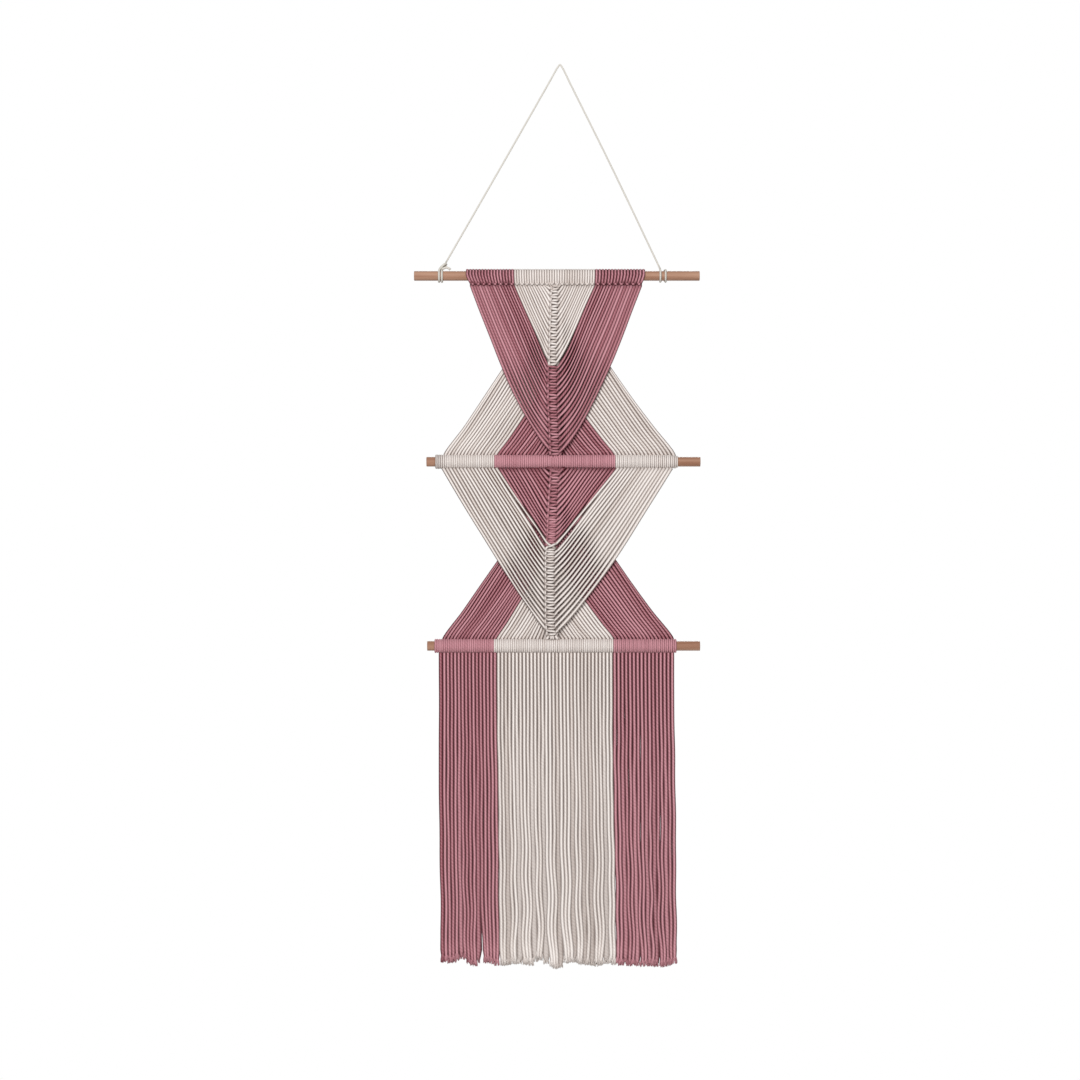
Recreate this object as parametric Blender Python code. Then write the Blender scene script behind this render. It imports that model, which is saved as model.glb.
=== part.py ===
"""Macrame wall hanging on three wooden dowels.

Sixty-four strands in two colours hang from the top dowel by lark's head knots. A column of
square knots, the spine, takes them in from both sides, and behind it they fan out again to the
next dowel, where a row of double half hitches ties them on. A second panel does the same, and
below the last dowel the strands hang as a fringe.

Everything is in metres. +Z is up and the front faces -Y. The origin is the point where the
hanging cord lies over its hook.
"""

import math
import random
from collections import namedtuple

import bmesh
import bpy
from mathutils import Vector
from mathutils.geometry import interpolate_bezier

GAP = 0.0003  # between pieces that touch on the real thing

# Wood
DOWEL_DIAMETER = 0.010
DOWEL_EDGE = 0.0005
DOWEL_SIDES = 16
Dowel = namedtuple("Dowel", "name left right height")
DOWELS = (
    Dowel("dowel_top", -0.1533, 0.1467, -0.2228),
    Dowel("dowel_middle", -0.1403, 0.1475, -0.4181),
    Dowel("dowel_bottom", -0.1395, 0.1471, -0.6116),
)
TOP, MIDDLE, BOTTOM = (dowel.height for dowel in DOWELS)

# Knots round a dowel: one band of each colour, left to right
Band = namedtuple("Band", "side colour left right strands")
HEADING = (
    Band("left", "rose", -0.0988, -0.0483, 16),
    Band("centre", "cream", -0.0483, 0.0368, 32),
    Band("right", "rose", 0.0368, 0.0893, 16),
)
MIDDLE_HITCHES = (
    Band("left", "cream", -0.1309, -0.0689, 16),
    Band("centre", "rose", -0.0689, 0.0581, 32),
    Band("right", "cream", 0.0581, 0.1240, 16),
)
BOTTOM_HITCHES = (
    Band("left", "rose", -0.1317, -0.0694, 16),
    Band("centre", "cream", -0.0694, 0.0560, 32),
    Band("right", "rose", 0.0560, 0.1223, 16),
)
FRINGE = (
    Band("left", "rose", -0.1272, -0.0664, 16),
    Band("centre", "cream", -0.0664, 0.0558, 32),
    Band("right", "rose", 0.0558, 0.1232, 16),
)
SLEEVE_SIDES = 8
SLEEVE_BORE = DOWEL_DIAMETER / 2 + GAP
HEADING_RADIUS = 0.00735
HITCH_RADIUS = 0.0075
KNOT_VALLEY = 0.0007  # how deep the dip between two knots is
ROOT_SPAN = math.radians(22)  # of the sleeve's face that a strand grows from
HEADING_ROOT = math.radians(-62)  # 0 faces the front and 90 degrees faces up
HITCH_ROOT = math.radians(90)

# Spines of square knots, top to bottom
Spine = namedtuple("Spine", "panel colour top bottom waist belly first")
SPINES = (
    Spine("upper", "cream", -0.2335, -0.3170, 0.0032, 0.0046, 0.35),
    Spine("upper", "rose", -0.3178, -0.4101, 0.0042, 0.0060, 0.90),
    Spine("lower", "rose", -0.4264, -0.5055, 0.0042, 0.0058, 0.50),
    Spine("lower", "cream", -0.5065, -0.6008, 0.0044, 0.0062, 1.00),
)
SPINE_KNOTS = 16
SPINE_WIDENS = 5  # knots over which a spine reaches its full width, from the share in first
SPINE_DEPTH = -0.0041  # of the spine's middle
SPINE_HALF_DEPTH = 0.0037
Place = namedtuple("Place", "height across")
SPINE_LINE = (
    Place(-0.233, -0.0047),
    Place(-0.300, -0.0070),
    Place(-0.355, -0.0072),
    Place(-0.405, -0.0048),
    Place(-0.430, -0.0046),
    Place(-0.463, -0.0068),
    Place(-0.490, -0.0079),
    Place(-0.520, -0.0098),
    Place(-0.585, -0.0098),
    Place(-0.602, -0.0078),
)
# Corners of a knot, as shares of its half width and half depth, from the front left
KNOT_SECTION = ((-0.8, -1.0), (0.8, -1.0), (1.0, 0.1), (0.45, 1.0), (-0.45, 1.0), (-1.0, 0.1))
RIGHT_FRONT, RIGHT_BACK, LEFT_BACK, LEFT_FRONT = 1, 2, 4, 5

# Strands
STRAND = 0.0021  # side of the square that holds as much cord as the round one, 2.4 mm across
SQUEEZED = 0.0017  # the same beside a spine, where the strands are packed
ROOT_LENGTH = 0.0040  # over which a strand takes its own width
FRONT_DEPTH = -0.0046
BACK_DEPTH = 0.0009
LOWER_START = -0.0080  # of the lower front strands, under the middle of their dowel
LOWER_START_DEPTH = -0.0037

# Fringe
FRINGE_END = -0.9455
FRINGE_STRIP = 0.0024
FRINGE_DEPTH = -0.0012
FRINGE_SWAY = 0.0005
FRINGE_UNEVEN = 0.0045

# Hanging cord
CORD_DIAMETER = 0.0017
CORD_POINTS = 64
CORD_ROUTE = (
    (-0.1198, -0.0010, -0.2088),
    (-0.0600, -0.0005, -0.1048),
    (-0.0120, 0.0, -0.0206),
    (-0.0020, 0.0, -0.0030),
    (0.0, 0.0, -CORD_DIAMETER / 2),
    (0.0020, 0.0, -0.0030),
    (0.0108, 0.0, -0.0208),
    (0.0528, -0.0010, -0.1056),
    (0.1053, -0.0039, -0.21615),
)
TIE_LOOP_RADIUS = DOWEL_DIAMETER / 2 + GAP + CORD_DIAMETER / 2
TIE_LOOP_STEPS = 12
TIE_CORD_SIDES = 6
Tie = namedtuple("Tie", "name loops knot knot_size bars")
TIES = (
    Tie(
        "tie_left",
        (-0.1268, -0.1242),
        (-0.1228, -0.0005, -0.2137),
        (0.0026, 0.0021, 0.0036),
        (
            ((-0.1228, -0.0005, -0.2141), (-0.1145, -0.0024, -0.2158)),
            ((-0.1270, 0.0066, -0.2228), (-0.1240, 0.0066, -0.2228)),
        ),
    ),
    Tie(
        "tie_right",
        (0.1053, 0.1108),
        (0.1080, 0.0076, -0.2228),
        (0.0038, 0.0021, 0.0024),
        (((0.1080, 0.0076, -0.2228), (0.1108, 0.0082, -0.2280)),),
    ),
)

Paint = namedtuple("Paint", "red green blue roughness")
PAINTS = {
    "wood": Paint(0.50, 0.30, 0.18, 0.55),
    "rose": Paint(0.46, 0.19, 0.24, 0.90),
    "cream": Paint(0.80, 0.75, 0.69, 0.90),
    "cord": Paint(0.76, 0.74, 0.70, 0.85),
}


def clear_scene():
    for thing in list(bpy.data.objects):
        bpy.data.objects.remove(thing, do_unlink=True)


def material(name):
    """The Principled material of one paint, made once."""
    if name in bpy.data.materials:
        return bpy.data.materials[name]
    paint = PAINTS[name]
    made = bpy.data.materials.new(name)
    made.use_nodes = True
    shader = made.node_tree.nodes["Principled BSDF"]
    shader.inputs["Base Color"].default_value = (paint.red, paint.green, paint.blue, 1.0)
    shader.inputs["Roughness"].default_value = paint.roughness
    shader.inputs["Metallic"].default_value = 0.0
    return made


def add_object(name, data, paint):
    made = bpy.data.objects.new(name, data)
    data.materials.append(material(paint))
    bpy.context.scene.collection.objects.link(made)
    return made


def finish_mesh(bm, name, paint):
    """Turns the faces of one closed solid outwards and puts it in the scene."""
    bmesh.ops.recalc_face_normals(bm, faces=bm.faces)
    mesh = bpy.data.meshes.new(name)
    bm.to_mesh(mesh)
    bm.free()
    mesh.shade_smooth()
    mesh.set_sharp_from_angle(angle=math.radians(40))
    return add_object(name, mesh, paint)


# ---- rings, walls and strands ----


def add_ring(bm, points):
    return [bm.verts.new(point) for point in points]


def join_rings(bm, first, second, skipped=()):
    """Quads between two rings with equal numbers of points, but for the sides in skipped."""
    count = len(first)
    for side in range(count):
        if side not in skipped:
            after = (side + 1) % count
            bm.faces.new((first[side], first[after], second[after], second[side]))


def bridge(bm, first, second):
    """Joins two squares that face the same way, the second turned so that its corners lie nearest."""

    def length(order):
        return sum((a.co - b.co).length for a, b in zip(first, order, strict=True))

    turns = [second[i:] + second[:i] for i in range(4)]
    join_rings(bm, first, min(turns, key=length))


def middle(corners):
    return sum((corner.co for corner in corners), Vector()) / len(corners)


def strand_ring(bm, place, along, width=STRAND):
    """A square across a strand that runs along a direction."""
    across = along.cross(Vector((0, 1, 0))).normalized() * (width / 2)
    deep = along.cross(across).normalized() * (width / 2)
    corners = (-across - deep, across - deep, across + deep, -across + deep)
    return add_ring(bm, [place + corner for corner in corners])


def add_strand(bm, root, path, end, widths=(STRAND, STRAND)):
    """A strand from one square through the points of a path to another square, or to a cut end.

    The corners of a root square run counterclockwise as seen from outside its knot.
    """
    squares = [root] if root else []
    points = ([middle(root)] if root else []) + path + ([middle(end)] if end else [])
    first = 1 if root else 0
    for index in range(first, first + len(path)):
        before = points[max(index - 1, 0)]
        after = points[min(index + 1, len(points) - 1)]
        share = (index - first) / max(len(path) - 1, 1)
        width = widths[0] + (widths[1] - widths[0]) * share
        squares.append(strand_ring(bm, points[index], after - before, width))
    if end:
        squares.append(end[::-1])
    for above, below in zip(squares, squares[1:]):
        bridge(bm, above, below)
    if not root:
        bm.faces.new(squares[0])
    if not end:
        bm.faces.new(squares[-1])


def hanging_path(start, end, start_slope, end_slope, inner_points):
    """Points of a strand that leaves and arrives at its own slopes: across for each unit of fall.

    The first and last points lie one root length from the ends.
    """
    fall = end.z - start.z
    meeting = (end.x - start.x - end_slope * fall) / (start_slope - end_slope)
    meeting = min(max(meeting / fall, 0.2), 0.8) * fall
    handle = Vector((start.x + start_slope * meeting, 0, start.z + meeting))
    leaving = start.lerp(handle, 2 / 3)
    arriving = end.lerp(handle, 2 / 3)
    leaving.y, arriving.y = start.y, end.y
    steps = 48
    curve = interpolate_bezier(start, leaving, arriving, end, steps + 1)
    near = min(ROOT_LENGTH / (end - start).length, 0.4)
    shares = [near + (1 - 2 * near) * i / (inner_points + 1) for i in range(inner_points + 2)]
    return [curve[round(share * steps)].copy() for share in shares]


# ---- knots round a dowel ----


def sleeve_angles(root_angle):
    """Corner angles of a sleeve: one short side for the strands' roots, and equal ones for the rest."""
    step = (2 * math.pi - ROOT_SPAN) / (SLEEVE_SIDES - 1)
    return [root_angle - ROOT_SPAN / 2 - step * i for i in range(SLEEVE_SIDES)]


def sleeve_ring(bm, across, height, radius, angles):
    return add_ring(
        bm, [(across, -radius * math.cos(a), height + radius * math.sin(a)) for a in angles]
    )


def knotted_sleeve(bm, band, height, radius, root_angle, rings_per_strand):
    """A row of knots round a dowel, with a bore. Returns its strands' root squares, left to right."""
    angles = sleeve_angles(root_angle)
    left, right = band.left + GAP / 2, band.right - GAP / 2
    count = band.strands * rings_per_strand
    root_side = SLEEVE_SIDES - 1
    rings = []
    for i in range(count + 1):
        dip = KNOT_VALLEY if i % 2 == 0 else 0.0
        rings.append(sleeve_ring(bm, left + (right - left) * i / count, height, radius - dip, angles))
    roots = []
    for i, (first, second) in enumerate(zip(rings, rings[1:])):
        rooted = strand_roots_here(band, i, rings_per_strand)
        join_rings(bm, first, second, (root_side,) if rooted else ())
        if rooted:
            roots.append([first[root_side], first[0], second[0], second[root_side]])
    bore_radius = SLEEVE_BORE / math.cos((2 * math.pi - ROOT_SPAN) / (SLEEVE_SIDES - 1) / 2)
    bores = [sleeve_ring(bm, x, height, bore_radius, angles) for x in (left, right)]
    join_rings(bm, rings[0], bores[0])
    join_rings(bm, bores[0], bores[1])
    join_rings(bm, bores[1], rings[-1])
    return roots


def strand_roots_here(band, i, rings_per_strand):
    """Whether step i of a sleeve holds a strand: on the side that faces the spine."""
    if rings_per_strand == 1:
        return True
    strand, half = divmod(i, rings_per_strand)
    left_of_spine = band.side == "left" or (band.side == "centre" and strand < band.strands / 2)
    return half == (1 if left_of_spine else 0)


# ---- spine ----


def spine_across(height):
    """Where the spine's middle lies at a height, between the places of SPINE_LINE."""
    for upper, lower in zip(SPINE_LINE, SPINE_LINE[1:]):
        if height >= lower.height:
            share = (height - upper.height) / (lower.height - upper.height)
            return upper.across + min(max(share, 0.0), 1.0) * (lower.across - upper.across)
    return SPINE_LINE[-1].across


def spine_ring(bm, height, half_width):
    middle_x = spine_across(height)
    return add_ring(
        bm,
        [
            (middle_x + x * half_width, SPINE_DEPTH + y * SPINE_HALF_DEPTH, height)
            for x, y in KNOT_SECTION
        ],
    )


def knotted_spine(bm, spine):
    """A column of knots. Returns root squares by side: front ones on each knot's upper half, back ones below."""
    pitch = (spine.top - spine.bottom) / SPINE_KNOTS
    rings = []
    for i in range(2 * SPINE_KNOTS + 1):
        share = spine.first + (1 - spine.first) * min(i / 2 / SPINE_WIDENS, 1.0)
        half_width = share * (spine.belly if i % 2 else spine.waist)
        rings.append(spine_ring(bm, spine.top - pitch * i / 2, half_width))
    roots = {side: [] for side in (RIGHT_FRONT, RIGHT_BACK, LEFT_BACK, LEFT_FRONT)}
    for i, (above, below) in enumerate(zip(rings, rings[1:])):
        sides = (RIGHT_FRONT, LEFT_FRONT) if i % 2 == 0 else (RIGHT_BACK, LEFT_BACK)
        join_rings(bm, above, below, sides)
        for side in sides:
            after = (side + 1) % len(KNOT_SECTION)
            roots[side].append([above[after], above[side], below[side], below[after]])
    bm.faces.new(rings[0])
    bm.faces.new(rings[-1])
    return roots


# ---- panels ----


def inwards(roots, band):
    """A band's root squares on each side of the spine, from the spine outwards."""
    if band.side == "left":
        return {"left": roots[::-1], "right": []}
    if band.side == "right":
        return {"left": [], "right": roots}
    half = band.strands // 2
    return {"left": roots[:half][::-1], "right": roots[half:]}


def both_sides(bands, colour, roots_of):
    """Root squares of all bands of a colour, on each side of the spine, from the spine outwards."""
    sides = {"left": [], "right": []}
    for band in bands:
        if band.colour == colour:
            for side, found in inwards(roots_of(band), band).items():
                sides[side] += found
    return sides


def front_slopes(start, end, spread):
    """How steeply a front strand leaves and arrives. Outer ones sag: spread runs from 0 to 1."""
    mean = (end.x - start.x) / (end.z - start.z)
    return mean * (1.0 - 0.30 * spread), mean * (1.02 + 0.75 * spread)


def add_front_strands(bm, outer, inner, side, spread, inner_points):
    """Strands from the squares or points above to the spine's front squares, first to the top knot."""
    for number, (start, end) in enumerate(zip(outer, inner, strict=True)):
        root = start if isinstance(start, list) else None
        begin = middle(root) if root else start
        finish = middle(end)
        low, high = spread
        share = low + (high - low) * number / (len(inner) - 1)
        slopes = front_slopes(begin, finish, share)
        path = hanging_path(begin, finish, *slopes, inner_points)
        for place in path:
            place.y = FRONT_DEPTH + (place.y - FRONT_DEPTH) * 0.2
        add_strand(bm, root, path if root else [begin, *path[1:]], end, (STRAND, SQUEEZED))


def add_back_strands(bm, inner, outer):
    """Strands from the spine's back squares out to the hitches: the top knot's go furthest out."""
    for root, end in zip(inner, reversed(outer), strict=True):
        start, finish = middle(root), middle(end)
        span = (finish - start).length
        near = min(ROOT_LENGTH / span, 0.5)
        path = [start.lerp(finish, near), start.lerp(finish, 1 - near)] if span > 3 * ROOT_LENGTH else []
        for place, depth in zip(path, (BACK_DEPTH, BACK_DEPTH / 2)):
            place.y = depth
        add_strand(bm, root, path, end, (SQUEEZED, STRAND))


def upper_panel(colour):
    bm = bmesh.new()
    spine = next(s for s in SPINES if (s.panel, s.colour) == ("upper", colour))

    def heading_roots(band):
        return knotted_sleeve(bm, band, TOP, HEADING_RADIUS, HEADING_ROOT, 1)

    def hitch_roots(band):
        return knotted_sleeve(bm, band, MIDDLE, HITCH_RADIUS, HITCH_ROOT, 2)

    above = both_sides(HEADING, colour, heading_roots)
    below = both_sides(MIDDLE_HITCHES, colour, hitch_roots)
    knots = knotted_spine(bm, spine)
    spread, points = ((0.0, 0.15), 0) if colour == "cream" else ((0.2, 1.0), 3)
    add_front_strands(bm, above["left"], knots[LEFT_FRONT], "left", spread, points)
    add_front_strands(bm, above["right"], knots[RIGHT_FRONT], "right", spread, points)
    add_back_strands(bm, knots[LEFT_BACK], below["left"])
    add_back_strands(bm, knots[RIGHT_BACK], below["right"])
    finish_mesh(bm, f"upper_panel_{colour}", colour)


def strand_starts(bands, colour):
    """Where the lower front strands of a colour leave the middle dowel, from the spine outwards."""
    sides = {"left": [], "right": []}
    for band in bands:
        if band.colour == colour:
            pitch = (band.right - band.left) / band.strands
            places = [
                Vector((band.left + pitch * (i + 0.5), LOWER_START_DEPTH, MIDDLE + LOWER_START))
                for i in range(band.strands)
            ]
            for side, found in inwards(places, band).items():
                sides[side] += found
    return sides


def lower_panel(colour):
    bm = bmesh.new()
    spine = next(s for s in SPINES if (s.panel, s.colour) == ("lower", colour))

    def hitch_roots(band):
        return knotted_sleeve(bm, band, BOTTOM, HITCH_RADIUS, HITCH_ROOT, 2)

    above = strand_starts(MIDDLE_HITCHES, colour)
    below = both_sides(BOTTOM_HITCHES, colour, hitch_roots)
    knots = knotted_spine(bm, spine)
    spread, points = ((0.0, 0.1), 0) if colour == "rose" else ((0.15, 0.4), 1)
    add_front_strands(bm, above["left"], knots[LEFT_FRONT], "left", spread, points)
    add_front_strands(bm, above["right"], knots[RIGHT_FRONT], "right", spread, points)
    add_back_strands(bm, knots[LEFT_BACK], below["left"])
    add_back_strands(bm, knots[RIGHT_BACK], below["right"])
    finish_mesh(bm, f"lower_panel_{colour}", colour)


# ---- fringe ----


def fringe(band, chance):
    """A narrow strip under the hitches, and its strands, cut unevenly."""
    bm = bmesh.new()
    top = BOTTOM - HITCH_RADIUS - GAP
    left, right = band.left + GAP / 2, band.right - GAP / 2
    pitch = (right - left) / band.strands
    half = FRINGE_STRIP / 2
    rings = []
    for i in range(band.strands + 1):
        x = left + pitch * i
        corners = ((-half, 0.0), (half, 0.0), (half, -FRINGE_STRIP), (-half, -FRINGE_STRIP))
        rings.append(add_ring(bm, [(x, FRINGE_DEPTH + y, top + z) for y, z in corners]))
    underside = 2
    for first, second in zip(rings, rings[1:]):
        join_rings(bm, first, second, (underside,))
        root = [first[2], second[2], second[3], first[3]]
        start = middle(root)
        length = start.z - FRINGE_END + chance.uniform(-FRINGE_UNEVEN, FRINGE_UNEVEN)
        sway = chance.uniform(-FRINGE_SWAY, FRINGE_SWAY)
        depth = chance.uniform(-FRINGE_SWAY, FRINGE_SWAY)
        path = []
        for share, swing in ((0.012, 0.0), (0.3, 1.0), (0.65, -1.0), (1.0, 0.4)):
            path.append(start + Vector((sway * swing, depth * swing, -length * share)))
        add_strand(bm, root, path, None)
    bm.faces.new(rings[0])
    bm.faces.new(rings[-1])
    finish_mesh(bm, f"fringe_{band.side}", band.colour)


# ---- wood ----


def dowel(spec):
    bm = bmesh.new()
    radius = DOWEL_DIAMETER / 2
    rings = []
    profile = (
        (spec.left, radius - DOWEL_EDGE),
        (spec.left + DOWEL_EDGE, radius),
        (spec.right - DOWEL_EDGE, radius),
        (spec.right, radius - DOWEL_EDGE),
    )
    angles = [2 * math.pi * i / DOWEL_SIDES for i in range(DOWEL_SIDES)]
    for across, ring_radius in profile:
        rings.append(sleeve_ring(bm, across, spec.height, ring_radius, angles))
    for first, second in zip(rings, rings[1:]):
        join_rings(bm, first, second)
    bm.faces.new(rings[0])
    bm.faces.new(rings[-1])
    finish_mesh(bm, spec.name, "wood")


# ---- hanging cord ----


def smooth_route(route, count):
    """Points at even distances on a smooth curve through the route's own points."""
    places = [Vector(place) for place in route]
    dense = []
    for i, (start, end) in enumerate(zip(places, places[1:])):
        before = places[max(i - 1, 0)]
        after = places[min(i + 2, len(places) - 1)]
        reach = (end - start).length / 3
        leaving = start + (end - before).normalized() * reach
        arriving = end - (after - start).normalized() * reach
        dense += interpolate_bezier(start, leaving, arriving, end, 40)[:-1]
    dense.append(places[-1])
    travelled = [0.0]
    for first, second in zip(dense, dense[1:]):
        travelled.append(travelled[-1] + (second - first).length)
    points = []
    at = 0
    for i in range(count):
        goal = travelled[-1] * i / (count - 1)
        while at < len(dense) - 2 and travelled[at + 1] < goal:
            at += 1
        share = (goal - travelled[at]) / (travelled[at + 1] - travelled[at])
        points.append(dense[at].lerp(dense[at + 1], share))
    return points


def hanging_cord():
    curve = bpy.data.curves.new("hanging_cord", "CURVE")
    curve.dimensions = "3D"
    curve.bevel_depth = CORD_DIAMETER / 2
    curve.bevel_resolution = 2
    curve.use_fill_caps = True
    spline = curve.splines.new("POLY")
    points = smooth_route(CORD_ROUTE, CORD_POINTS)
    spline.points.add(len(points) - 1)
    for point, place in zip(spline.points, points):
        point.co = (*place, 1.0)
        point.radius = 1.0
    spline.use_smooth = True
    add_object("hanging_cord", curve, "cord")


def cord_loop(bm, across):
    """One turn of the cord round the top dowel."""
    rings = []
    for step in range(TIE_LOOP_STEPS):
        turn = 2 * math.pi * step / TIE_LOOP_STEPS
        ring = []
        for side in range(TIE_CORD_SIDES):
            around = 2 * math.pi * side / TIE_CORD_SIDES
            reach = TIE_LOOP_RADIUS + CORD_DIAMETER / 2 * math.cos(around)
            x = across + CORD_DIAMETER / 2 * math.sin(around)
            ring.append((x, -reach * math.cos(turn), TOP + reach * math.sin(turn)))
        rings.append(add_ring(bm, ring))
    for first, second in zip(rings, rings[1:] + rings[:1]):
        join_rings(bm, first, second)


def helper(name, build):
    """A closed shape that a union takes in, and that isn't a piece itself."""
    bm = bmesh.new()
    build(bm)
    made = finish_mesh(bm, name, "cord")
    made.hide_render = True
    made.display_type = "WIRE"
    return made


def tie(spec):
    """The turns of the cord round the dowel, its knot and its ends, joined into one solid."""
    knot = Vector(spec.knot)

    def knot_shape(bm):
        bmesh.ops.create_uvsphere(bm, u_segments=8, v_segments=6, radius=1.0)
        for vert in bm.verts:
            vert.co = knot + Vector(a * b for a, b in zip(vert.co, spec.knot_size))

    bm = bmesh.new()
    cord_loop(bm, spec.loops[0])
    body = finish_mesh(bm, spec.name, "cord")
    parts = [
        helper(spec.name + "_second_loop", lambda shape: cord_loop(shape, spec.loops[1])),
        helper(spec.name + "_knot", knot_shape),
    ]
    for bar in spec.bars:
        start, end = map(Vector, bar)

        def bar_shape(bm, start=start, end=end):
            squares = [strand_ring(bm, place, end - start, CORD_DIAMETER) for place in (start, end)]
            join_rings(bm, *squares)
            for square in squares:
                bm.faces.new(square)

        parts.append(helper(spec.name + "_bar", bar_shape))
    for part in parts:
        union = body.modifiers.new(part.name, "BOOLEAN")
        union.operation = "UNION"
        union.solver = "EXACT"
        union.object = part


def main():
    clear_scene()
    for spec in DOWELS:
        dowel(spec)
    for colour in ("cream", "rose"):
        upper_panel(colour)
        lower_panel(colour)
    chance = random.Random(4)
    for band in FRINGE:
        fringe(band, chance)
    hanging_cord()
    for spec in TIES:
        tie(spec)


main()
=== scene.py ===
"""Macrame wall hanging on three wooden dowels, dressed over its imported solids.

Each of the sixty-four cotton strands is laid out as the cord it is: a lark's head on the top dowel,
a filler in the spine and then a square knot round it, the fan behind, a double half hitch on the
next dowel, and the same again down to the fringe. The route of each stretch is a short list of
points in millimetres, and one function lays twisted cord along all of them.
"""

import random
from functools import partial
from math import cos, exp, pi, radians, sin
from typing import NamedTuple

import bpy
import numpy as np
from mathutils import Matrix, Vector


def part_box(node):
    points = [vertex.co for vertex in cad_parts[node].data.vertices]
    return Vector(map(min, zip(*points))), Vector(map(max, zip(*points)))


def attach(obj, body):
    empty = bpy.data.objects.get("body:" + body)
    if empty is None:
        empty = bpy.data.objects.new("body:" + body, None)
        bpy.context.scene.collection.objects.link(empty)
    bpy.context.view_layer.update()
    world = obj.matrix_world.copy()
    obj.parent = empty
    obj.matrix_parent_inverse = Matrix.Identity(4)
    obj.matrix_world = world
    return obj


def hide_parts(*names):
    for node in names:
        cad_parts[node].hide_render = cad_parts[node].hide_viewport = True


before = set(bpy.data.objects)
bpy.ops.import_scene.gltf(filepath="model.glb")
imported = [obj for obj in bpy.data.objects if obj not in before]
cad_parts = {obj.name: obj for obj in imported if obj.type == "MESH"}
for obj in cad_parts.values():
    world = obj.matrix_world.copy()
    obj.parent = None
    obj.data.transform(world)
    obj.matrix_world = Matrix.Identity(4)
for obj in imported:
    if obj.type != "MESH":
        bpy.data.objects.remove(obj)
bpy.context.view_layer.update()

bl_info = {
    "name": "Macrame wall hanging",
    "version": (1, 0, 0),
    "blender": (4, 5, 0),
    "location": "View3D > Sidebar > Macrame",
    "description": "Cotton strands, knots, dowels and studio for a macrame wall hanging",
    "category": "Add Mesh",
}

MM = 0.001

# ---- where things are, in millimetres, in the frame of the solids ----

TOP, MIDDLE, BOTTOM = -222.8, -418.1, -611.6  # heights of the dowels' axes
DOWEL_RADIUS = 5.0
SPINE_LINE = np.array([
    # height, across
    (-232.0, -4.7), (-300.0, -7.0), (-355.0, -7.2), (-405.0, -4.8), (-430.0, -4.6),
    (-463.0, -6.8), (-490.0, -7.9), (-520.0, -9.8), (-585.0, -9.8), (-602.0, -7.8),
])
SPINE_DEPTH = -4.1
COLOURS = ("cream", "rose")
# A pair is the two strands, one on each side of the spine, that one knot takes in.
PAIRS = 32
PAIRS_A_COLOUR = 16
FILLER_PAIRS = 2
INNER_KNOTS = PAIRS_A_COLOUR - FILLER_PAIRS
SPINE_EDGE = 2  # place of the spine in each list of five edges of bands


class Panel(NamedTuple):
    """The sizes of one panel. Edges are those of five bands of strands, left to right."""

    name: str
    inner: str  # colour of the pairs nearest the spine, above it
    outer: str
    starts: tuple  # edges above the spine
    knots: tuple  # some knots' numbers, and the heights of their tops, down to the end
    arrivals: tuple  # edges of the fan, just above the next dowel
    loops: tuple  # edges of the hitches on it
    row: float
    widths: tuple  # of a knot, as a share of the pattern's, for each colour


UPPER = Panel(
    "upper", "cream", "rose",
    starts=(-94.5, -47.7, -5.75, 36.4, 86.0),
    knots=((1, 15, 31), (-232.3, -317.4, -411.4)),
    arrivals=(-122.4, -66.2, -5.4, 57.0, 121.4),
    loops=(-130.9, -68.9, -5.4, 58.1, 124.0),
    row=MIDDLE,
    widths=(0.8, 1.0),
)
LOWER = Panel(
    "lower", "rose", "cream",
    starts=(-124.6, -65.2, -4.9, 59.6, 118.8),
    knots=((1, 9, 15, 18, 31), (-427.0, -477.8, -506.4, -521.6, -600.6)),
    arrivals=(-123.6, -67.0, -6.9, 56.6, 119.6),
    loops=(-131.7, -69.4, -6.7, 56.0, 122.3),
    row=BOTTOM,
    widths=(0.97, 1.0),
)
HEADING = (-98.8, -48.3, -5.75, 36.8, 89.3)
FRINGE = (-127.2, -66.4, -5.3, 55.4, 119.9)


class StrandSizes(bpy.types.PropertyGroup):
    """Sizes of the cotton strands."""

    front: bpy.props.FloatProperty(
        name="Front strand", description="Greatest width of a strand in front, where it has room",
        default=3.9 * MM, unit="LENGTH",
    )
    fan: bpy.props.FloatProperty(
        name="Fan strand", description="Greatest width of a strand in the fan behind",
        default=4.3 * MM, unit="LENGTH",
    )
    knotted: bpy.props.FloatProperty(
        name="Knotted strand", description="Width of a strand in a square knot",
        default=2.75 * MM, unit="LENGTH",
    )
    fringe: bpy.props.FloatProperty(
        name="Fringe strand", description="Width of a slack strand in the fringe",
        default=4.0 * MM, unit="LENGTH",
    )
    # Real string this thick turns once in about 8 mm. Its plies would be too fine to show.
    twist: bpy.props.FloatProperty(
        name="Twist", description="Length of strand in which its three plies turn once",
        default=11.0 * MM, unit="LENGTH",
    )
    cord: bpy.props.FloatProperty(
        name="Hanging cord", description="Diameter of the hanging cord",
        default=1.7 * MM, unit="LENGTH",
    )


def linear(code):
    """An sRGB hex colour as linear light."""
    shares = [int(code[i : i + 2], 16) / 255 for i in (1, 3, 5)]
    return tuple(s / 12.92 if s <= 0.04045 else ((s + 0.055) / 1.055) ** 2.4 for s in shares)


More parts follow.
